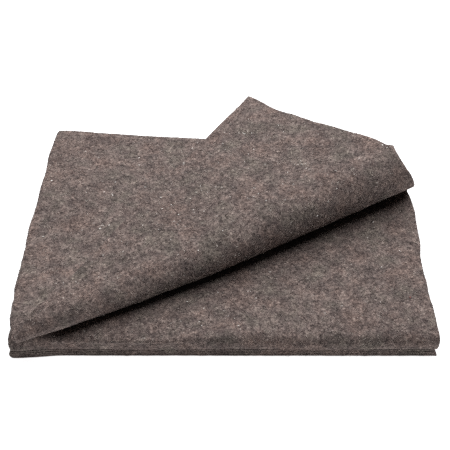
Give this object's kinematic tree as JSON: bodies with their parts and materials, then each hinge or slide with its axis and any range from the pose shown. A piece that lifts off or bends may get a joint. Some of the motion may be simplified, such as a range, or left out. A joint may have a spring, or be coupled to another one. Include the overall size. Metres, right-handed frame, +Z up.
{
  "type": "folded felt fire blanket",
  "caption": "Thick felted blanket folded into a low oblong pad, with the front right corner of its top leaf rolled back.",
  "frame": {"origin": "on the floor, under the middle of the folded blanket's bounding box", "axes": "+X along the folded pad's front edge to the right, +Y from the front edge to the back, +Z up"},
  "size_m": [0.5248, 0.4166, 0.1156],
  "materials": {
    "felt": "dry mottled grey-brown needled felt of recycled wool and mixed fibres, fuzzy and matt, with pale and coloured specks"
  },
  "bodies": {
    "root": {"blanket": "felt"}
  },
  "joints": []
}
